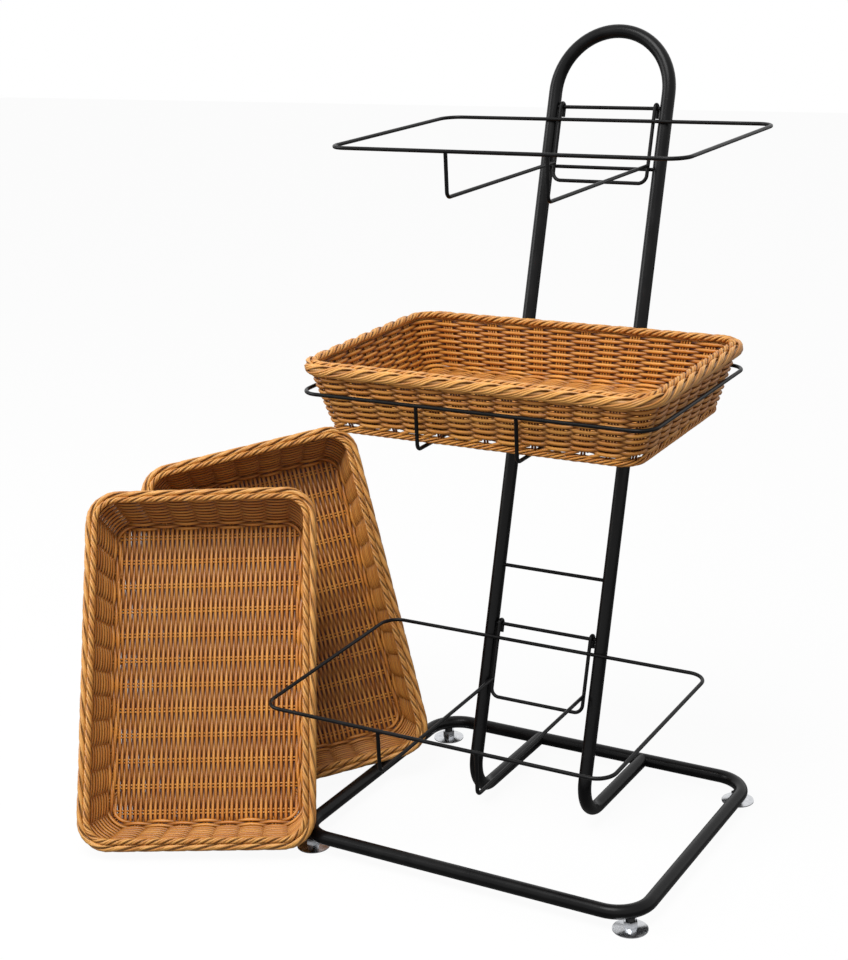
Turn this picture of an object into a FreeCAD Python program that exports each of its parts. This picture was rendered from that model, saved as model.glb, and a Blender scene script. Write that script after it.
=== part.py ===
import FreeCAD, Part
import math
import os

Vec = FreeCAD.Vector

# A bakery bread rack: a leaning tube mast on a flat tube base carries three wire
# holders, and woven baskets drop into the holders.  Millimetres, X to the rack's
# right, Y to the rear, Z up.  The whole set is centred over the origin at the end.

# --- tube frame -------------------------------------------------------------
tube_d = 22.0               # round steel tube of the base, legs and arch
tube_wall = 1.5
base_width = 593.0          # centre line of the left tube to that of the right tube
base_depth = 488.0          # centre line of the front tube to that of the rear tube
base_bend = 55.0            # centre-line radius at the base's corners
base_height = 29.7          # centre line of the base above the floor
leg_spacing = 200.0         # centre line to centre line
leg_foot_y = 228.0          # where the leaning legs meet the base's level
leg_bend = 52.0             # centre-line radius between a leg and its foot run
mast_lean = 17.0            # degrees back from upright
arch_spring = 1187.0        # along the mast, where the arch starts to curve
joint_along = 542.0         # along the mast, where the arch plugs into the legs
spigot_length = 45.0
spigot_gap = 0.1            # slip between the reduced tube end and the leg's bore
shoulder_length = 6.0       # length over which the arch's tube end is reduced

# --- wire -------------------------------------------------------------------
wire_d = 6.0
hook_bars = {"lower": 300.0, "middle": 786.0, "upper": 1162.0}   # along the mast
bar_pitch = 98.0            # between the two cross bars of a pair
rest_gap = 0.3              # between a hanging holder and what it leans on

# --- wire holders -----------------------------------------------------------
ring_width = 580.0          # centre lines of the ring's two side wires
ring_depth = 382.0
ring_bend = 30.0
ring_below_hook = 23.0      # along the mast
ring_fall = 1.5             # degrees, front edge below level
side_play = 3.0             # between the hook frame and the legs' inner faces
hook_tip = 15.0             # the hook's free end below the bar's centre
hook_frame_length = 122.0   # bar's centre to the frame's bottom wire
hook_frame_bend = 14.0
arm_drop = 68.0             # ring's centre line to the arms' centre line
arm_bend = 9.0
weld_depth = 0.7            # how deep a wire's end is notched over the wire it is welded to

# --- woven basket -----------------------------------------------------------
rim_side_overhang = 18.0    # the rim's overall length beyond the ring's width
rim_end_overhang = 11.0     # the rim's overall width beyond the ring's depth
basket_height = 115.0
rim_d = 24.0                # plaited rim
rim_corner = 42.0           # centre-line radius
rope_d = 12.0               # twisted border that the basket stands on
wall_t = 8.0
side_taper = 21.0           # how far a long wall leans in from rim to foot rope
end_taper = 32.0            # the same for a short wall
foot_corner = 30.0
floor_t = 8.0
floor_raise = 15.0          # underside of the floor above the foot
cove_width = 12.0           # the floor's edge curves up to the wall over this width
cove_height = 8.0

# --- where the baskets are --------------------------------------------------
seat_gap = 0.3              # between a seated basket and the arms
# A loose basket stands on a short side and leans back.  The lower corner of its rim on
# the rack's side is placed from the base's left tube and from its front tube.
front_corner_in = 48.7      # rightwards of the left tube
front_corner_back = -24.2   # rearwards of the front tube
rear_corner_in = 75.4
rear_corner_back = 317.0
front_angles = (26.29, 29.42, 0.94)      # yaw, lean and roll in degrees
rear_angles = (37.28, 23.55, 9.91)

# --- levelling glides -------------------------------------------------------
glide_d = 54.0
glide_rim = 1.5             # height of the disc's upright edge
glide_dome = 5.0            # height at the middle of the disc
hex_across = 20.0
hex_height = 10.0
stud_d = 8.0
stud_length = 12.0          # above the hex
thread_gap = 0.05           # radial, stud to bush
bush_d = 14.0
bush_stop = 0.4             # bush's end above the hex

# --- worked out from the sizes above ----------------------------------------
tube_r = tube_d / 2
bore_r = tube_r - tube_wall
wire_r = wire_d / 2
lean = math.radians(mast_lean)
mast_up = Vec(0, math.sin(lean), math.cos(lean))
mast_front = Vec(0, -math.cos(lean), math.sin(lean))
ring_forward = tube_r + rest_gap + wire_r       # ring's rear wire ahead of the legs' axes
frame_forward = ring_forward - wire_d           # hook frame just behind that wire
hook_r = wire_d + rest_gap                      # hook's centre line about the cross bar
bar_forward = frame_forward - hook_r
hook_half = leg_spacing / 2 - tube_r - side_play - wire_r
fall = math.radians(ring_fall)
ring_back = Vec(0, math.cos(fall), math.sin(fall))
ring_up = Vec(0, -math.sin(fall), math.cos(fall))
basket_length = ring_width + rim_side_overhang     # over the rim
basket_width = ring_depth + rim_end_overhang
rim_r = rim_d / 2
rope_r = rope_d / 2
rim_level = basket_height - rim_r               # rim's centre line above the foot


def on_mast(x, along, forward):
    """A point beside the mast: along it from its foot, and ahead of the legs' axes."""
    foot = Vec(x, leg_foot_y, base_height)
    return foot + mast_up * along + mast_front * forward


def disc(centre, normal, radius):
    return Part.Face(Part.Wire(Part.Circle(centre, normal, radius).toShape()))


def bent_rod(points, bends, radius):
    """A round rod along straight runs, with an arc of its own radius at each corner."""
    pieces = []
    start = points[0]
    for i in range(1, len(points)):
        run = (points[i] - points[i - 1]).normalize()
        end = points[i]
        if i < len(points) - 1:
            turned = (points[i + 1] - points[i]).normalize()
            turn = run.getAngle(turned)
            end = points[i] - run * (bends[i - 1] * math.tan(turn / 2))
        if (end - start).dot(run) > 1e-6:
            pieces.append(disc(start, run, radius).extrude(end - start))
        if i < len(points) - 1:
            axis = run.cross(turned).normalize()
            centre = end + axis.cross(run) * bends[i - 1]
            pieces.append(disc(end, run, radius).revolve(centre, axis, math.degrees(turn)))
            start = points[i] + turned * (bends[i - 1] * math.tan(turn / 2))
    rod = pieces[0]
    if len(pieces) > 1:
        rod = rod.multiFuse(pieces[1:])
    return rod.removeSplitter()


def rod_loop(corners, bend, radius):
    """A closed loop of rod through four corners, starting in the middle of a side."""
    middle = (corners[0] + corners[3]) * 0.5
    return bent_rod([middle] + corners + [middle], [bend] * 4, radius)


def rectangle(width, depth, origin, right, back):
    """Corners of a rectangle, anticlockwise from the front left."""
    half = right * (width / 2)
    deep = back * (depth / 2)
    return [origin - half - deep, origin + half - deep, origin + half + deep, origin - half + deep]


def cylinder(centre, radius, height):
    return Part.makeCylinder(radius, height, centre, Vec(0, 0, 1))


# --- base, legs and arch ----------------------------------------------------
def base_path_corners():
    middle = Vec(0, base_depth / 2, base_height)
    return rectangle(base_width, base_depth, middle, Vec(1, 0, 0), Vec(0, 1, 0))


def glide_centres():
    """Under the middle of each corner's bend, named by the corner."""
    inset = base_bend * (1 - math.sqrt(0.5))
    names = ["front_left", "front_right", "rear_right", "rear_left"]
    middle = Vec(0, base_depth / 2, 0)
    corners = rectangle(base_width - 2 * inset, base_depth - 2 * inset, middle, Vec(1, 0, 0), Vec(0, 1, 0))
    return dict(zip(names, corners))


hex_top = glide_dome + hex_height
bush_bottom = hex_top + bush_stop


def make_bush(centre):
    length = base_height - bush_bottom
    low = Vec(centre.x, centre.y, bush_bottom)
    body = cylinder(low, bush_d / 2, length)
    return body.cut(cylinder(low, stud_d / 2 + thread_gap, length))


def make_base():
    loop = rod_loop(base_path_corners(), base_bend, tube_r)
    loop = loop.cut(rod_loop(base_path_corners(), base_bend, bore_r))
    for centre in glide_centres().values():
        low = Vec(centre.x, centre.y, bush_bottom)
        loop = loop.cut(cylinder(low, bush_d / 2, base_height - bush_bottom))
    return loop


def make_lower_leg(x):
    path = [Vec(x, base_depth, base_height), Vec(x, leg_foot_y, base_height), on_mast(x, joint_along, 0)]
    leg = bent_rod(path, [leg_bend], tube_r).cut(bent_rod(path, [leg_bend], bore_r))
    rear_bar = bent_rod([Vec(-base_width / 2, base_depth, base_height),
                         Vec(base_width / 2, base_depth, base_height)], [], tube_r)
    return leg.cut(rear_bar)


def arch_path(from_along):
    half = leg_spacing / 2
    crown = arch_spring + half
    return [on_mast(-half, from_along, 0), on_mast(-half, crown, 0),
            on_mast(half, crown, 0), on_mast(half, from_along, 0)]


def make_arch():
    half = leg_spacing / 2
    arch = bent_rod(arch_path(joint_along), [half, half], tube_r)
    spigot_r = bore_r - spigot_gap
    for x in (-half, half):
        low = on_mast(x, joint_along - spigot_length, 0)
        arch = arch.fuse(Part.makeCylinder(spigot_r, spigot_length, low, mast_up))
    arch = arch.cut(bent_rod(arch_path(joint_along + shoulder_length), [half, half], bore_r))
    for x in (-half, half):
        low = on_mast(x, joint_along - spigot_length, 0)
        hollow = Part.makeCylinder(spigot_r - tube_wall, spigot_length + shoulder_length, low, mast_up)
        arch = arch.cut(hollow)
    return arch.removeSplitter()


def make_cross_bar(along):
    half = leg_spacing / 2
    bar = bent_rod([on_mast(-half, along, bar_forward), on_mast(half, along, bar_forward)], [], wire_r)
    for x in (-half, half):
        leg = Part.makeCylinder(tube_r, 4 * wire_d, on_mast(x, along - 2 * wire_d, 0), mast_up)
        bar = bar.cut(leg)
    return bar


# --- wire holders -----------------------------------------------------------
def ring_rear(hook_along):
    """The middle of the ring's rear wire, for a holder hung at this height."""
    return on_mast(0, hook_along - ring_below_hook, ring_forward)


def make_ring(hook_along):
    middle = ring_rear(hook_along) - ring_back * (ring_depth / 2)
    return rod_loop(rectangle(ring_width, ring_depth, middle, Vec(1, 0, 0), ring_back), ring_bend, wire_r)


def make_hook_frame(hook_along):
    """One wire: hook, down beside the leg, across, up and over the bar again."""
    top = hook_along + hook_r
    low = hook_along - hook_frame_length
    behind = bar_forward - hook_r
    left = [on_mast(-hook_half, hook_along - hook_tip, behind), on_mast(-hook_half, top, behind),
            on_mast(-hook_half, top, frame_forward), on_mast(-hook_half, low, frame_forward)]
    right = [Vec(-p.x, p.y, p.z) for p in reversed(left)]
    bends = [hook_r, hook_r, hook_frame_bend, hook_frame_bend, hook_r, hook_r]
    return bent_rod(left + right, bends, wire_r)


def make_arm(x, hook_along, ring, hook_frame):
    """Drops from the ring's front wire, then runs back under the basket to the hook frame."""
    front = ring_rear(hook_along) - ring_back * ring_depth + Vec(x, 0, 0)
    low = front - ring_up * arm_drop
    notched = wire_r - weld_depth
    ahead = (low - on_mast(x, 0, frame_forward)).dot(mast_front) - notched
    back = low + ring_back * (ahead / -ring_back.dot(mast_front))
    arm = bent_rod([front - ring_up * notched, low, back], [arm_bend], wire_r)
    return arm.cut(ring).cut(hook_frame)


# --- woven baskets ----------------------------------------------------------
def rounded_outline(length, width, corner, z):
    """A rounded rectangle as one wire of four lines and four arcs."""
    cx = length / 2 - corner
    cy = width / 2 - corner
    edges = []
    for sx, sy, turn in ((1, 1, 0), (-1, 1, 90), (-1, -1, 180), (1, -1, 270)):
        centre = Vec(sx * cx, sy * cy, z)
        ends = [centre + Vec(math.cos(math.radians(turn + a)), math.sin(math.radians(turn + a)), 0) * corner
                for a in (0, 45, 90)]
        if edges:
            edges.append(Part.LineSegment(edges[-1].valueAt(edges[-1].LastParameter), ends[0]).toShape())
        edges.append(Part.Arc(*ends).toShape())
    first = edges[0].valueAt(edges[0].FirstParameter)
    edges.append(Part.LineSegment(edges[-1].valueAt(edges[-1].LastParameter), first).toShape())
    return Part.Wire(edges)


def wall_outline(z, offset):
    """The wall's outline at a height, pushed out from its middle by an offset."""
    rise = (z - rope_r) / (rim_level - rope_r)
    corner = foot_corner + (rim_corner - foot_corner) * rise
    length = basket_length - rim_d - 2 * end_taper * (1 - rise) + 2 * offset
    width = basket_width - rim_d - 2 * side_taper * (1 - rise) + 2 * offset
    return rounded_outline(length, width, corner + offset, z)


def loft(low, high):
    return Part.makeLoft([low, high], True, True)


def make_floor():
    """A flat tray whose edge curves up to the wall."""
    inside = -wall_t / 2
    floor_top = floor_raise + floor_t
    cove_top = floor_top + cove_height
    floor = loft(wall_outline(floor_raise, inside), wall_outline(cove_top, inside))
    return floor.cut(loft(wall_outline(floor_top, inside - cove_width), wall_outline(cove_top, inside)))


def make_basket():
    """The four woven pieces, standing on their foot rope about the local origin."""
    corners = rectangle(basket_length - rim_d, basket_width - rim_d, Vec(0, 0, rim_level), Vec(1, 0, 0), Vec(0, 1, 0))
    rim = rod_loop(corners, rim_corner, rim_r)
    length = basket_length - rim_d - 2 * end_taper
    width = basket_width - rim_d - 2 * side_taper
    corners = rectangle(length, width, Vec(0, 0, rope_r), Vec(1, 0, 0), Vec(0, 1, 0))
    rope = rod_loop(corners, foot_corner, rope_r)
    wall = loft(wall_outline(rope_r, wall_t / 2), wall_outline(rim_level, wall_t / 2))
    wall = wall.cut(loft(wall_outline(rope_r, -wall_t / 2), wall_outline(rim_level, -wall_t / 2)))
    wall = wall.cut(rim).cut(rope)
    floor = make_floor()
    return {"wall": wall, "floor": floor, "rim": rim, "foot_rope": rope}


def seated_placement(hook_along):
    """Foot rope on the arms, the basket centred in the ring."""
    seat = arm_drop - wire_r - seat_gap
    centre = ring_rear(hook_along) - ring_back * (ring_depth / 2) - ring_up * seat
    return FreeCAD.Placement(centre, FreeCAD.Rotation(Vec(1, 0, 0), ring_back, ring_up, "ZXY"))


def leaning_axes(yaw, lean_back, roll):
    """Up the basket's length, and out of its opening, for a basket stood on its short side."""
    level = Vec(math.cos(yaw), math.sin(yaw), 0)
    facing = Vec(math.sin(yaw), -math.cos(yaw), 0) * math.cos(lean_back) + Vec(0, 0, math.sin(lean_back))
    slope = facing.cross(level)
    up_length = slope * math.cos(roll) - level * math.sin(roll)
    return up_length, facing


def stand_loose(pieces, corner_in, corner_back, angles):
    """Turns a copy of each piece, sets the rim's lower corner and lets it down to the floor."""
    yaw, lean_back, roll = (math.radians(angle) for angle in angles)
    up_length, facing = leaning_axes(yaw, lean_back, roll)
    across = facing.cross(up_length)
    turn = FreeCAD.Rotation(up_length, across, facing, "ZXY")
    corner = Vec(corner_in - base_width / 2, corner_back, 0)
    spot = corner + up_length * (basket_length / 2) + across * (basket_width / 2) - facing * rim_level
    stood = {name: piece.copy() for name, piece in pieces.items()}
    for piece in stood.values():
        piece.Placement = FreeCAD.Placement(spot, turn)
    lowest = min(piece.optimalBoundingBox(False, False).ZMin for piece in stood.values())
    for piece in stood.values():
        piece.translate(Vec(0, 0, -lowest))
    return stood


# --- levelling glides -------------------------------------------------------
def make_glide(centre):
    """A domed pressed disc, a hex collar and the threaded stud, standing on the floor."""
    edge = glide_d / 2
    dome_edge = hex_across / 2
    profile = [Vec(0, 0, 0), Vec(edge, 0, 0), Vec(edge, 0, glide_rim), Vec(dome_edge, 0, glide_dome),
               Vec(0, 0, glide_dome), Vec(0, 0, 0)]
    plate = Part.Face(Part.makePolygon(profile)).revolve(Vec(0, 0, 0), Vec(0, 0, 1), 360)
    across_corners = hex_across / math.sqrt(3)
    outline = [Vec(across_corners * math.cos(math.radians(60 * k)), across_corners * math.sin(math.radians(60 * k)),
                   glide_dome) for k in range(7)]
    collar = Part.Face(Part.makePolygon(outline)).extrude(Vec(0, 0, hex_height))
    collar = collar.cut(cylinder(Vec(0, 0, glide_dome), stud_d / 2, hex_height))
    stud = cylinder(Vec(0, 0, glide_dome), stud_d / 2, hex_height + stud_length)
    pieces = {"disc": plate, "hex": collar, "stud": stud}
    for piece in pieces.values():
        piece.translate(centre)
    return pieces


# --- all the nodes ----------------------------------------------------------
nodes = {"base_loop": make_base(), "top_arch": make_arch()}
for side, x in (("left", -leg_spacing / 2), ("right", leg_spacing / 2)):
    nodes["lower_leg_" + side] = make_lower_leg(x)

rest_bars = {"upper": -bar_pitch, "middle": -bar_pitch, "lower": bar_pitch}
for tier, along in hook_bars.items():
    nodes[tier + "_hook_bar"] = make_cross_bar(along)
    nodes[tier + "_second_bar"] = make_cross_bar(along + rest_bars[tier])
    ring = make_ring(along)
    hook_frame = make_hook_frame(along)
    nodes[tier + "_ring"] = ring
    nodes[tier + "_hook_frame"] = hook_frame
    nodes[tier + "_arm_left"] = make_arm(-hook_half, along, ring, hook_frame)
    nodes[tier + "_arm_right"] = make_arm(hook_half, along, ring, hook_frame)

basket = make_basket()
for name, piece in basket.items():
    seated = piece.copy()
    seated.Placement = seated_placement(hook_bars["middle"])
    nodes["middle_basket_" + name] = seated
loose_baskets = {
    "front": stand_loose(basket, front_corner_in, front_corner_back, front_angles),
    "rear": stand_loose(basket, rear_corner_in, rear_corner_back, rear_angles),
}
for place, pieces in loose_baskets.items():
    for name, piece in pieces.items():
        nodes[place + "_basket_" + name] = piece

for corner, centre in glide_centres().items():
    nodes["bush_" + corner] = make_bush(centre)
    for name, piece in make_glide(centre).items():
        nodes["glide_" + corner + "_" + name] = piece

# The floor's point under the middle of the whole set becomes the origin.
box = FreeCAD.BoundBox()
for shape in nodes.values():
    box.add(shape.optimalBoundingBox(False, False))
to_origin = Vec(-box.Center.x, -box.Center.y, -box.ZMin)

os.makedirs("parts", exist_ok=True)
for name, shape in nodes.items():
    shape.translate(to_origin)
    shape.exportStep("parts/" + name + ".step")
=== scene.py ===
import math

import bpy
import numpy as np
from mathutils import Matrix, Vector


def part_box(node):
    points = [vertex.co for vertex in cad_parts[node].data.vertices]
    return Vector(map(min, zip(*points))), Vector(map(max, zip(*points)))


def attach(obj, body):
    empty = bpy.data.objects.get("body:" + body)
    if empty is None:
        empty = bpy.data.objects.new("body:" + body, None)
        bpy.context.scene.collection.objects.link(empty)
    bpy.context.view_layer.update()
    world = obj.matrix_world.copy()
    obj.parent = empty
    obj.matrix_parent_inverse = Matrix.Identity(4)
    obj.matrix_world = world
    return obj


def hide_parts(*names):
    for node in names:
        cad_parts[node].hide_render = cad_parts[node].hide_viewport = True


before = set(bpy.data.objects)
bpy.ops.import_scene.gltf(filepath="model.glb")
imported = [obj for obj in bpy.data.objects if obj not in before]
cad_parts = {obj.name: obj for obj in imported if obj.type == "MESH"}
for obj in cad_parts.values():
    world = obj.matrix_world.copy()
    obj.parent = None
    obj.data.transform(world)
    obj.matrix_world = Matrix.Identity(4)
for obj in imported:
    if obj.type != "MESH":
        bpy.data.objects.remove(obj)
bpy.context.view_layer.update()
bpy.ops.object.select_all(action="DESELECT")


# --- Tube frame -------------------------------------------------------------
# The floor loop, the two leaning legs, the arch and the cross bars are steel tube and
# rod, bent, welded and then covered in black powder that is baked on.  The coat is
# satin, with a fine orange-peel skin and a little dust in it.
class Tone:
    """One socket of a finish.  Arithmetic on a tone adds Math nodes to that finish."""

    def __init__(self, tree, socket=None):
        self.tree = tree
        self.socket = socket

    def node(self, kind, settings=(), inputs=(), output=0):
        """Any node: its type, its settings, then the values or links of its sockets."""
        made = self.tree.nodes.new("ShaderNode" + kind)
        for name, value in dict(settings).items():
            setattr(made, name, value)
        for name, value in dict(inputs).items():
            if isinstance(value, Tone):
                self.tree.links.new(value.socket, made.inputs[name])
            else:
                made.inputs[name].default_value = value
        return Tone(self.tree, made.outputs[output] if made.outputs else None)

    def sum_of(self, operation, first, second):
        return self.node("Math", {"operation": operation}, {0: first, 1: second})

    def __add__(self, other):
        return self.sum_of("ADD", self, other)

    def __radd__(self, other):
        return self.sum_of("ADD", other, self)

    def __sub__(self, other):
        return self.sum_of("SUBTRACT", self, other)

    def __rsub__(self, other):
        return self.sum_of("SUBTRACT", other, self)

    def __mul__(self, other):
        return self.sum_of("MULTIPLY", self, other)

    def __rmul__(self, other):
        return self.sum_of("MULTIPLY", other, self)

    def blend(self, low, high):
        """A colour that goes from low to high as this tone goes from 0 to 1."""
        return self.node("Mix", {"data_type": "RGBA"}, {0: self, 6: low, 7: high}, 2)

    def between(self, low, high):
        """This tone stretched so that low becomes 0 and high becomes 1, and held there."""
        return self.node("MapRange", {}, {"Value": self, "From Min": low, "From Max": high})

    def noise(self, place, scale, detail=2.0):
        return self.node("TexNoise", {}, {"Vector": place, "Scale": scale, "Detail": detail})


def paint(red, green, blue):
    """A colour from its 0 to 255 values on a colour card."""
    parts = [part / 255 for part in (red, green, blue)]
    return [part / 12.92 if part < 0.04045 else ((part + 0.055) / 1.055) ** 2.4 for part in parts] + [1]


def new_finish(name):
    material = bpy.data.materials.new(name)
    material.use_nodes = True
    material.node_tree.nodes.clear()
    return material, Tone(material.node_tree)


def dress(material, names):
    for name in names:
        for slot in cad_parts[name].material_slots:
            slot.material = material


def powder_coat(name, dull, bright):
    """Baked black powder; dull and bright are the ends of its range of roughness."""
    material, start = new_finish(name)
    place = start.node("TexCoord", output="Object")
    dust = start.noise(place, 31.0, 5.0)
    colour = dust.between(0.45, 0.8).blend(paint(9, 9, 10), paint(20, 20, 20))
    peel = start.node("Bump", {}, {"Strength": 0.25, "Distance": 0.0002, "Height": start.noise(place, 520.0)})
    shader = start.node("BsdfPrincipled", {}, {
        "Base Color": colour,
        "Roughness": bright + (dull - bright) * dust,
        "Specular IOR Level": 0.17,
        "Normal": peel,
    })
    start.node("OutputMaterial", {}, {"Surface": shader})
    return material


tiers = ("upper", "middle", "lower")
tube_names = ["base_loop", "top_arch", "lower_leg_left", "lower_leg_right"]
bar_names = [tier + bar for tier in tiers for bar in ("_hook_bar", "_second_bar")]
dress(powder_coat("satin_black_tube", 0.4, 0.18), tube_names + bar_names)


# --- Wire holders -----------------------------------------------------------
# Each holder is a ring of round steel wire, a bent hook frame behind it and two arms
# below it, welded together.  The real coat is a little glossier where baskets and hooks
# slide over it; here the holders have the same powder coat all over, with its own range
# of roughness.
holder_names = [tier + part for tier in tiers for part in ("_ring", "_hook_frame", "_arm_left", "_arm_right")]
dress(powder_coat("satin_black_wire", 0.44, 0.2), holder_names)


# --- Levelling glides and their bushes ---------------------------------------
# A pressed disc with a hex collar and a stud, all bright zinc plate, screws up into a
# black moulded bush in each corner of the floor loop.  The plate is brushed round the
# stud and slightly milky.
corners = ("front_left", "front_right", "rear_left", "rear_right")


def bright_plate():
    material, start = new_finish("bright_plate")
    place = start.node("TexCoord", output="Object")
    cloud = start.noise(place, 140.0, 4.0)
    colour = cloud.between(0.3, 0.75).blend(paint(196, 198, 202), paint(226, 227, 229))
    scratches = start.noise(place, 1400.0)
    brush = start.node("Bump", {}, {"Strength": 0.2, "Distance": 0.0001, "Height": scratches})
    shader = start.node("BsdfPrincipled", {}, {
        "Base Color": colour,
        "Metallic": 1.0,
        "Roughness": 0.12 + 0.22 * cloud,
        "Normal": brush,
    })
    start.node("OutputMaterial", {}, {"Surface": shader})
    return material


def moulded_black():
    material, start = new_finish("moulded_black")
    place = start.node("TexCoord", output="Object")
    grain = start.noise(place, 900.0, 3.0)
    shader = start.node("BsdfPrincipled", {}, {
        "Base Color": grain.blend(paint(24, 24, 25), paint(40, 40, 41)),
        "Roughness": 0.5 + 0.15 * grain,
        "Normal": start.node("Bump", {}, {"Strength": 0.2, "Distance": 0.0002, "Height": grain}),
    })
    start.node("OutputMaterial", {}, {"Surface": shader})
    return material


dress(bright_plate(), ["glide_" + corner + part for corner in corners for part in ("_disc", "_hex", "_stud")])
dress(moulded_black(), ["bush_" + corner for corner in corners])


# --- Basket walls -----------------------------------------------------------
# Every basket is hand woven from honey-coloured plastic cane, slightly flattened where
# it is pulled tight.  Forty-two upright stakes of four sticks each lean out from the
# foot, and closed rows pass inside one stake and outside the next.
stakes = 42
steps_per_stake = 8
stake_r = 0.0018
stick_places = (-0.0069, -0.0023, 0.0023, 0.0069)     # the four sticks of a stake
inner_stick_foot = 0.0035
outer_stick_foot = 0.0160
cane_half_width = 0.0031    # along the wall
cane_thin = 0.84            # thickness as a share of the width
cane_swing = 0.0032         # how far a cane passes to each side of the stakes
cane_step = 1.5             # how abruptly it passes from one side to the other
row_low = 0.0180
row_high = 0.0967
row_count = 18
row_drift = 0.0002          # how far a row wanders up and down
tail_half_width = 0.0024
tail_thin = 0.75
foot_level = 0.006          # the wall's outline here, and how much it grows up to the rim
foot_half_length = 0.255
foot_half_width = 0.1635
foot_corner = 0.030
wall_height = 0.097
length_growth = 0.032
width_growth = 0.021
corner_growth = 0.012
wall_slope = 0.26           # how far the wall leans out for its height
bevel_sides = 6
grain_round = 1.3           # size of the drawing lines round a cane and along it
grain_length = 0.018


def rounded_outline(share, half_length, half_width, corner):
    """Points at a share of the way round a rounded rectangle, and the outward directions."""
    straight_x = half_length - corner
    straight_y = half_width - corner
    arc = corner * math.pi / 2
    quadrant = np.floor(4 * share).astype(int) % 4
    run = 4 * share - np.floor(4 * share)
    run = np.where(quadrant % 2 == 1, 1 - run, run) * (straight_x + straight_y + arc)
    up = np.minimum(run, straight_y)
    angle = np.clip((run - straight_y) / corner, 0, math.pi / 2)
    back = np.clip(run - straight_y - arc, 0, None)
    side_x = np.where((quadrant == 1) | (quadrant == 2), -1, 1)
    side_y = np.where(quadrant >= 2, -1, 1)
    x = side_x * (straight_x + corner * np.cos(angle) - back)
    y = side_y * (up + corner * np.sin(angle))
    out = np.stack([side_x * np.cos(angle), side_y * np.sin(angle), 0 * share], axis=-1)
    return np.stack([x, y, 0 * share], axis=-1), out


def round_the_basket(share, height, outward=0.0):
    """Points on the wall's middle surface, which leans out with height, and the outward directions."""
    rise = (height - foot_level) / wall_height
    spot, out = rounded_outline(share, foot_half_length + length_growth * rise,
                                foot_half_width + width_growth * rise, foot_corner + corner_growth * rise)
    spot[:, 2] = height
    return spot + out * np.expand_dims(outward + 0 * share, -1), out


def wander(random, share, size):
    """A small slow drift along a closed strand, so that no two rows are alike."""
    drift = 0 * share
    for waves in (2, 5, 11):
        drift = drift + size / math.sqrt(waves) * np.sin(2 * math.pi * (waves * share + random.random()))
    return drift


def weave(name, strands, half_width, thin, random):
    """One piece from its strands.

    Each strand is the points along a cane, whether it is closed, the direction in which
    it is flattened, and how far it lies to that side of its neighbours, from -1 to 1.
    Here that last value only sets painted shade: the faces turned away from the side a
    strand lies to are painted dark, and a strand at 0 is painted half dark all over.
    """
    curve = bpy.data.curves.new(name, "CURVE")
    curve.dimensions = "3D"
    curve.bevel_depth = half_width
    curve.bevel_resolution = 1
    for points, closed, side, lift in strands:
        spline = curve.splines.new("POLY")
        spline.points.add(len(points) - 1)
        spline.points.foreach_set("co", np.column_stack([points, np.ones(len(points))]).ravel())
        thick = np.ones(len(points))
        if not closed:
            thick[[0, -1]] = 0.02
        spline.points.foreach_set("radius", thick)
        spline.use_cyclic_u = closed
    piece = bpy.data.objects.new(name, curve)
    bpy.context.scene.collection.objects.link(piece)
    bpy.ops.object.select_all(action="DESELECT")
    piece.select_set(True)
    bpy.context.view_layer.objects.active = piece
    bpy.ops.object.convert(target="MESH")

    mesh = piece.data
    corners = np.zeros(len(mesh.vertices) * 3, np.float32)
    mesh.vertices.foreach_get("co", corners)
    corners = corners.reshape(-1, bevel_sides, 3)
    around = np.arange(bevel_sides) * 2 * math.pi / bevel_sides
    ring = np.stack([np.cos(around), np.sin(around)], axis=-1) * grain_round
    tones = []
    grains = []
    shown = []
    first = 0
    for points, closed, side, lift in strands:
        count = len(points)
        offset = corners[first:first + count] - points[:, None]
        across = (offset * side[:, None]).sum(axis=-1)
        corners[first:first + count] -= (1 - thin) * across[..., None] * side[:, None]
        # Painted shade: 'shown' runs from 1 on the faces turned toward the side the strand lies to, to 0 on
        # the faces turned away.
        shown.append((0.5 + 0.5 * np.reshape(lift, (-1, 1)) * across / half_width).ravel())
        along = np.concatenate([[0], np.cumsum(np.linalg.norm(np.diff(points, axis=0), axis=1))])
        grain = np.zeros((count, bevel_sides, 3))
        grain[:, :, :2] = ring[None]
        grain[:, :, 2] = (along / grain_length + random.random() * 50)[:, None]
        grains.append(grain.ravel())
        tones.append(np.full(count * bevel_sides, random.random()))
        first += count
    mesh.vertices.foreach_set("co", corners.ravel())
    mesh.attributes.new("tone", "FLOAT", "POINT").data.foreach_set("value", np.concatenate(tones))
    mesh.attributes.new("shown", "FLOAT", "POINT").data.foreach_set("value", np.concatenate(shown))
    mesh.attributes.new("grain", "FLOAT_VECTOR", "POINT").data.foreach_set("vector", np.concatenate(grains))
    bpy.ops.object.mode_set(mode="EDIT")
    bpy.ops.mesh.select_all(action="SELECT")
    bpy.ops.mesh.normals_make_consistent(inside=False)
    bpy.ops.object.mode_set(mode="OBJECT")
    bpy.ops.object.shade_smooth()
    return piece


def join(main, *others):
    bpy.ops.object.select_all(action="DESELECT")
    for piece in (main,) + others:
        piece.select_set(True)
    bpy.context.view_layer.objects.active = main
    bpy.ops.object.join()
    return main


def wall_strands(random):
    strands = []
    share = np.arange(stakes * steps_per_stake) / (stakes * steps_per_stake)
    wave = np.tanh(cane_step * np.cos(math.pi * stakes * share)) / math.tanh(cane_step)
    for row, height in enumerate(np.linspace(row_low, row_high, row_count)):
        lift = wave * (1 if row % 2 else -1)
        level = height + wander(random, share, row_drift)
        points, out = round_the_basket(share, level, cane_swing * lift)
        points[:, 2] -= wall_slope * cane_swing * lift
        # lift also paints shade: the face of each cane turned away from its swing is painted dark.
        strands.append((points, True, out, lift))
    return strands


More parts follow.
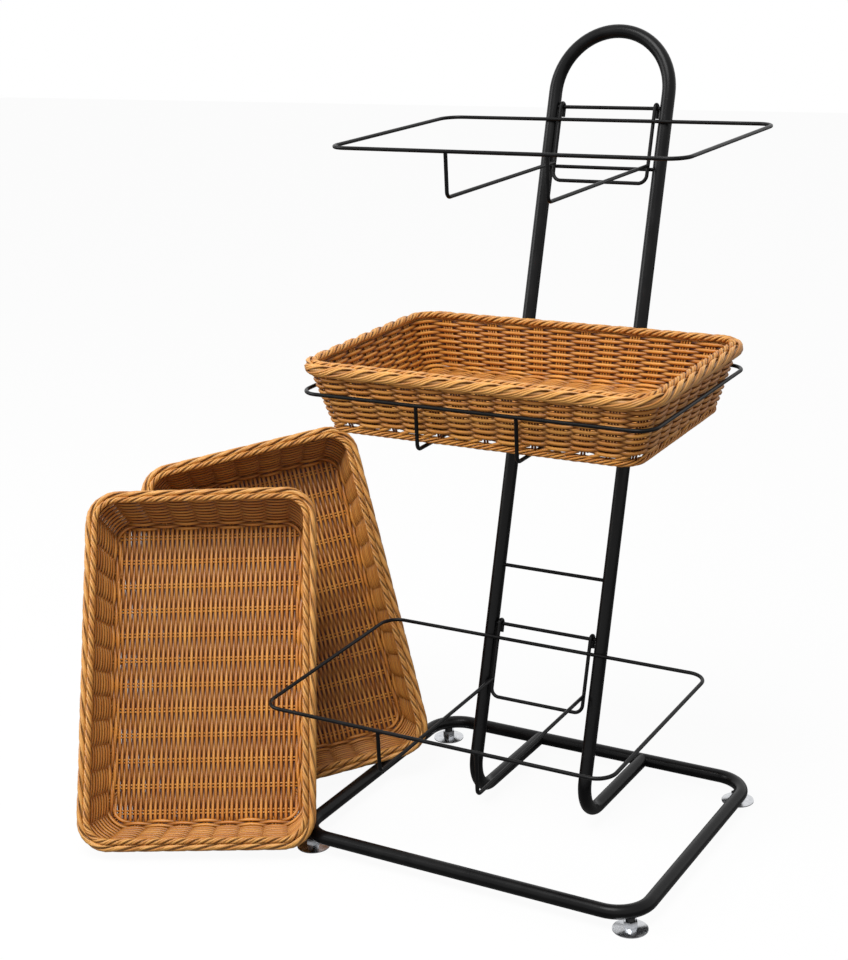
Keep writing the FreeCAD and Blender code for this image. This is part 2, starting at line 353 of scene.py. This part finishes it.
def stake_strands():
    """The two inner sticks of a stake stand in the foot rope, the outer two in the lowest row."""
    strands = []
    for stake in range(stakes):
        for side in stick_places:
            foot = outer_stick_foot if abs(side) > 0.004 else inner_stick_foot
            height = np.array([foot, foot + 0.0007, 0.028, 0.050, 0.072, 0.0985, 0.0992])
            middle, out = round_the_basket(np.full(len(height), stake / stakes), height)
            # Painted shade: at -1 the sticks' outer faces, which the rows cover, are painted dark.
            strands.append((middle + np.cross([0, 0, 1], out) * side, False, out, -1.0))
    return strands


def tail_strands():
    """Between two stakes a tail slants from the lowest row down into the foot rope."""
    strands = []
    share = np.array([0.14, 0.16, 0.38, 0.62, 0.84, 0.86])
    height = np.array([0.0078, 0.0085, 0.0122, 0.0150, 0.0172, 0.0175])
    outward = np.array([0.0, 0.0006, 0.0024, 0.0026, 0.0008, 0.0])
    for stake in range(stakes):
        points, out = round_the_basket((share + stake) / stakes, height, outward)
        # Painted shade: at 1 the tails' inner faces are painted dark.
        strands.append((points, False, out, 1.0))
    return strands


random = np.random.RandomState(42)
wall = join(weave("woven_wall", wall_strands(random), cane_half_width, cane_thin, random),
            weave("woven_stakes", stake_strands(), stake_r, 1.0, random),
            weave("woven_tails", tail_strands(), tail_half_width, tail_thin, random))


# --- Basket floors ----------------------------------------------------------
# The floor is a shallow tray raised above the foot.  Twelve pairs of sticks cross it,
# and long canes pass over and under them side by side.  Round its edge, closed rows
# curve up to the wall over the ends of the stakes.
tray_half_length = 0.2587
tray_half_width = 0.1658
tray_corner = 0.031
corner_share = 0.75         # how fast the corners tighten inward
tray_level = 0.0180
cove_width = 0.014
cove_height = 0.008
cove_rows = 3
flat_inset = 0.009          # where the long canes end, in from the wall
flat_corner = 0.022
cross_pairs = 12
cross_pitch = 0.0424
steps_per_cross = 6
long_canes = 77
edge_spread = 0.03          # how much more room the outermost canes have
floor_half_width = 0.0027   # the floor's canes are finer than the wall's
floor_thin = 0.6
floor_swing = 0.0029
stick_r = 0.0017
stick_half_gap = 0.0026


def cove_level(inset):
    """Height of the tray's middle surface at a distance in from the wall, and its slope there."""
    left = np.clip(1 - inset / cove_width, 0, 1)
    return tray_level + cove_height * left ** 2, -2 * cove_height / cove_width * left


def tray_height(x, y):
    past_x = np.abs(x) - (tray_half_length - tray_corner)
    past_y = np.abs(y) - (tray_half_width - tray_corner)
    outside = np.hypot(np.maximum(past_x, 0), np.maximum(past_y, 0))
    return cove_level(tray_corner - outside - np.minimum(np.maximum(past_x, past_y), 0))[0]


def reach(offset, half_across, half_along):
    """How far a cane goes from the middle before it meets the flat floor's rounded outline."""
    past = max(abs(offset) - (half_across - flat_inset - flat_corner), 0)
    return half_along - flat_inset - flat_corner + math.sqrt(max(flat_corner ** 2 - past ** 2, 0))


def floor_strands(random):
    strands = []
    step = cross_pitch / steps_per_cross
    even = np.linspace(-1, 1, long_canes)
    places = (even + edge_spread * even ** 3) / (1 + edge_spread) * (tray_half_width - flat_inset)
    for cane, across in enumerate(places):
        end = reach(across, tray_half_width, tray_half_length)
        count = int(end / step)
        x = np.concatenate([[-end], np.arange(-count, count + 1) * step, [end]])
        y = across + 0.00025 * np.sin(x * 23 + random.random() * 6)
        lift = np.sin(math.pi * x / cross_pitch) * (1 if cane % 2 else -1)
        points = np.stack([x, y, tray_height(x, y) + floor_swing * lift], axis=-1)
        # lift also paints shade: where a cane dives under a pair of sticks its top is painted dark, and where
        # it rides over, its underside.
        strands.append((points, False, np.tile([0.0, 0.0, 1.0], (len(x), 1)), lift))
    return strands


def cross_strands():
    strands = []
    for pair in range(cross_pairs):
        for side in (-stick_half_gap, stick_half_gap):
            x = (pair - (cross_pairs - 1) / 2) * cross_pitch + side
            end = reach(x, tray_half_length, tray_half_width)
            y = np.concatenate([[-end], np.linspace(-end + 0.0008, end - 0.0008, 24), [end]])
            points = np.stack([0 * y + x, y, tray_height(x + 0 * y, y)], axis=-1)
            # Painted shade: at 1 the undersides of the sticks are painted dark.
            strands.append((points, False, np.tile([0.0, 0.0, 1.0], (len(y), 1)), 1.0))
    return strands


def cove_strands(random):
    """The closed rows round the tray's edge."""
    strands = []
    share = np.arange(stakes * steps_per_stake) / (stakes * steps_per_stake)
    wave = np.cos(math.pi * stakes * share)
    for row, inset in enumerate(np.linspace(0.0015, flat_inset + 0.0010, cove_rows)):
        lift = wave * (1 if row % 2 else -1)
        spot, out = rounded_outline(share, tray_half_length - inset, tray_half_width - inset,
                                    tray_corner - inset * corner_share)
        level, slope = cove_level(inset)
        up = (out * slope + [0, 0, 1]) / math.hypot(slope, 1)
        spot[:, 2] = level + wander(random, share, row_drift)
        # lift also paints shade on the face of each row turned away from its swing.
        strands.append((spot + up * (floor_swing * lift)[:, None], True, up, lift))
    return strands


def cove_stakes():
    strands = []
    inset = np.array([0.0160, 0.0155, 0.012, 0.008, 0.005, 0.0012, 0.0008])
    level, slope = cove_level(inset)
    for stake in range(stakes):
        share = np.full(1, stake / stakes)
        for side in (-stick_half_gap, stick_half_gap):
            points = []
            for step_in, step_level in zip(inset, level):
                spot, out = rounded_outline(share, tray_half_length - step_in, tray_half_width - step_in,
                                            tray_corner - step_in * corner_share)
                points.append(spot[0] + np.cross([0, 0, 1], out[0]) * side + [0, 0, step_level])
            # Painted shade: at 0 these sticks are painted half dark all over.
            strands.append((np.array(points), False, np.tile(out[0], (len(inset), 1)), 0.0))
    return strands


floor = join(weave("woven_floor", floor_strands(random), floor_half_width, floor_thin, random),
             weave("woven_sticks", cross_strands(), stick_r, 1.0, random),
             weave("woven_cove", cove_strands(random), cane_half_width, cane_thin, random),
             weave("woven_cove_stakes", cove_stakes(), stick_r, 1.0, random))


# --- Basket rims and foot ropes ----------------------------------------------
# The stakes' ends are plaited into a thick border: an outer rope of four bundles of
# three canes round a core, and beside it on the inside a thinner rope of two pairs.
# The foot is a rope of six thin canes.
border_cane_r = 0.0022
foot_cane_r = 0.00185
outer_core_r = 0.0050
inner_core_r = 0.0024
outer_level = 0.1027
outer_out = 0.0056          # from the wall's middle surface to the middle of the rope
inner_level = 0.1090
inner_out = -0.0064
outer_turns = 11
foot_turns = 19
foot_twist = 0.0041         # from the middle of the foot rope to the middle of a cane
steps_per_turn = 18
rope_drift = 0.00015        # how far a rope's canes wander up and down


def rope_strands(random, height, outward, bundles, places, turns, wide, tall,
                 spread=0.0, crowd=0.0, tuck=0.0):
    """Bundles of canes wound round a closed core.

    places are the canes of a bundle, spread turns apart, which crowd together on the top.
    With tuck the canes lie flatter below and rise more steeply on to the top.
    """
    steps = turns * steps_per_turn
    share = np.arange(steps) / steps
    strands = []
    for bundle in range(bundles):
        for place in places:
            even = 2 * math.pi * (turns * share + bundle / bundles)
            turn = even + tuck * np.sin(even - 1.3) + 2 * math.pi * place * (spread - crowd * np.sin(even))
            path, out = round_the_basket(share, height, outward + wide * np.cos(turn))
            path[:, 2] += tall * np.sin(turn) + wander(random, share, rope_drift)
            side = out * np.cos(turn)[:, None] + np.array([0, 0, 1]) * np.sin(turn)[:, None]
            # Painted shade: the faces of each cane turned toward the rope's middle are painted dark.
            strands.append((path, True, side, 1.0))
    return strands


def core(random, height, outward):
    """The stakes' hidden ends inside a rope, painted about half dark as the rope's shade."""
    strands = rope_strands(random, height, outward, 1, (0,), outer_turns, 0.0, 0.0)
    return [(path, closed, side, -0.2) for path, closed, side, lift in strands]


outer_rope = rope_strands(random, outer_level, outer_out, bundles=4, places=(-1, 0, 1), turns=outer_turns,
                          wide=0.0042, tall=0.0076, spread=0.074, crowd=0.007, tuck=0.6)
rim = weave("plaited_rim", outer_rope, border_cane_r, 1.0, random)
inner_rope = rope_strands(random, inner_level, inner_out, bundles=2, places=(-1, 1), turns=stakes,
                          wide=0.0033, tall=0.0033, spread=0.1, crowd=0.02)
rim_inner = weave("plaited_rim_inner", inner_rope, border_cane_r, 1.0, random)
rim_core = weave("rim_core", core(random, outer_level, outer_out), outer_core_r, 1.0, random)
rim_core_inner = weave("rim_core_inner", core(random, inner_level, inner_out), inner_core_r, 1.0, random)
rim = join(rim, rim_inner, rim_core, rim_core_inner)
foot_strands = rope_strands(random, foot_level, 0.0, bundles=6, places=(0,), turns=foot_turns,
                            wide=foot_twist, tall=foot_twist)
foot_rope = weave("twisted_foot", foot_strands, foot_cane_r, 1.0, random)


# --- Cane colour ------------------------------------------------------------
# The cane is coloured through, slightly glossy, with fine lengthwise drawing lines.
# Each strand has its own tone, from pale straw to toffee, and it darkens in patches
# along its length.  The rims are of a paler cane than the rest.  Over this a dark brown
# is painted in as shade where 'shown' is low: on the faces of canes and sticks turned
# away or tucked in behind their neighbours, and inside the ropes.
def coloured_cane(name, dark, light):
    material, start = new_finish(name)
    tone = start.node("Attribute", {"attribute_name": "tone"}, {}, "Fac")
    grain = start.node("Attribute", {"attribute_name": "grain"}, {}, "Vector")
    lines = start.noise(grain, 1.0, 3.0)
    place = start.node("TexCoord", output="Object")
    patches = start.noise(place, 26.0, 3.0)
    shown = start.node("Attribute", {"attribute_name": "shown"}, {}, "Fac")
    shade = 0.42 * tone + 0.6 * lines + 0.5 * patches
    colour = shade.between(0.3, 1.15).blend(dark, light)
    # Painted shade: the colour goes to dark brown where 'shown' is low.
    colour = shown.between(0.2, 0.85).blend(paint(92, 42, 8), colour)
    shader = start.node("BsdfPrincipled", {}, {
        "Base Color": colour,
        "Roughness": 0.3 + 0.16 * lines,
        "Specular IOR Level": 0.5,
        "Normal": start.node("Bump", {}, {"Strength": 0.35, "Distance": 0.0003, "Height": lines}),
    })
    start.node("OutputMaterial", {}, {"Surface": shader})
    return material


honey = coloured_cane("honey_cane", paint(186, 108, 34), paint(238, 168, 76))
straw = coloured_cane("straw_cane", paint(186, 114, 44), paint(240, 180, 96))
woven = {"wall": wall, "floor": floor, "rim": rim, "foot_rope": foot_rope}
for part, piece in woven.items():
    piece.data.materials.append(straw if part == "rim" else honey)


# --- The three baskets --------------------------------------------------------
# One basket stands on the middle holder's arms, inside its ring.  Two more lean back on
# a short side beside the rack, each at its own angle.
rim_level = 0.103           # the rim's middle above the foot
ring_fall = 1.5             # degrees by which the holder's ring, and its basket, fall to the front


def basket_place(name, along, up):
    """Where a basket's foot is: along its length and up out of its opening, from its rim's box."""
    low, high = (Vector(corner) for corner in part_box(name + "_rim"))
    across = up.cross(along)
    spot = (low + high) / 2 - up * rim_level
    turn = Matrix((along, across, up)).transposed().to_4x4()
    return Matrix.Translation(spot) @ turn


def leaning_place(name, yaw, lean, roll):
    yaw, lean, roll = (math.radians(angle) for angle in (yaw, lean, roll))
    level = Vector((math.cos(yaw), math.sin(yaw), 0))
    up = Vector((math.sin(yaw) * math.cos(lean), -math.cos(yaw) * math.cos(lean), math.sin(lean)))
    along = up.cross(level) * math.cos(roll) - level * math.sin(roll)
    return basket_place(name, along, up)


fall = math.radians(ring_fall)
out_of_ring = Vector((0, -math.sin(fall), math.cos(fall)))
places = {
    "middle_basket": basket_place("middle_basket", Vector((1, 0, 0)), out_of_ring),
    "front_basket": leaning_place("front_basket", 26.29, 29.42, 0.94),
    "rear_basket": leaning_place("rear_basket", 37.28, 23.55, 9.91),
}
for basket, place in places.items():
    for part, pattern in woven.items():
        mesh = pattern.data.copy()
        mesh.transform(place)
        piece = bpy.data.objects.new(basket + "_woven_" + part, mesh)
        bpy.context.scene.collection.objects.link(piece)
        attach(piece, basket)
        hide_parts(basket + "_" + part)
for pattern in woven.values():
    bpy.data.objects.remove(pattern)


# --- Floor, light and camera --------------------------------------------------
# A plain white studio floor and backdrop, two wide soft boxes and an even sky, and the
# camera a little above the arch in front of the rack's right side.
bpy.ops.mesh.primitive_plane_add(size=24, location=(0, 0, 0))
studio_floor = bpy.context.active_object
studio_floor.name = "studio_floor"
material, start = new_finish("studio_white")
path = start.node("LightPath", output="Is Camera Ray")
seen = start.node("Emission", {}, {"Color": (1, 1, 1, 1), "Strength": 1.0})
lit = start.node("BsdfDiffuse", {}, {"Color": (0.95, 0.95, 0.95, 1)})
dim = start.node("BsdfDiffuse", {}, {"Color": (0.25, 0.25, 0.25, 1)})
plain = start.node("MixShader", {}, {0: 0.94, 1: lit, 2: seen})
start.node("OutputMaterial", {}, {"Surface": start.node("MixShader", {}, {0: path, 1: dim, 2: plain})})
studio_floor.data.materials.append(material)

world = bpy.data.worlds.new("studio_sky")
bpy.context.scene.world = world
world.use_nodes = True
world.node_tree.nodes.clear()
sky = Tone(world.node_tree)
camera_ray = sky.node("LightPath", output="Is Camera Ray")
glossy_ray = sky.node("LightPath", output="Is Glossy Ray")
through_ray = sky.node("LightPath", output="Is Transmission Ray")
even = sky.node("Background", {}, {"Color": (1, 1, 1, 1), "Strength": 0.46})
white = sky.node("Background", {}, {"Color": (1, 1, 1, 1), "Strength": 1.0})
shown = (camera_ray + glossy_ray + through_ray).between(0.0, 1.0)
sky.node("OutputWorld", {}, {"Surface": sky.node("MixShader", {}, {0: shown, 1: even, 2: white})})


def soft_box(name, spot, target, size, power):
    light = bpy.data.lights.new(name, "AREA")
    light.shape = "SQUARE"
    light.size = size
    light.energy = power
    box = bpy.data.objects.new(name, light)
    box.location = spot
    box.rotation_euler = (Vector(target) - Vector(spot)).to_track_quat("-Z", "Y").to_euler()
    bpy.context.scene.collection.objects.link(box)


soft_box("key_box", (0.2, -1.9, 3.9), (0, 0, 0.5), 2.0, 119)
soft_box("left_box", (-2.8, -1.6, 2.2), (0, 0, 0.5), 1.6, 38)

azimuth = 0.5298368371
elevation = 0.2956617225
roll = -0.0317100901
camera_spot = (1.4089, -2.30993, 1.4009)
back = Vector((math.sin(azimuth) * math.cos(elevation), -math.cos(azimuth) * math.cos(elevation),
               math.sin(elevation)))
right = (-back).cross(Vector((0, 0, 1))).normalized()
up = right.cross(-back)
level_right = right * math.cos(roll) + up * math.sin(roll)
level_up = up * math.cos(roll) - right * math.sin(roll)
camera = bpy.data.objects.new("camera", bpy.data.cameras.new("camera"))
camera.data.sensor_fit = "HORIZONTAL"
camera.data.sensor_width = 36
camera.data.lens = 74.24
camera.data.clip_end = 60
turn = Matrix((level_right, level_up, back)).transposed().to_4x4()
camera.matrix_world = Matrix.Translation(camera_spot) @ turn
bpy.context.scene.collection.objects.link(camera)
bpy.context.scene.camera = camera
bpy.context.scene.view_settings.view_transform = "Standard"
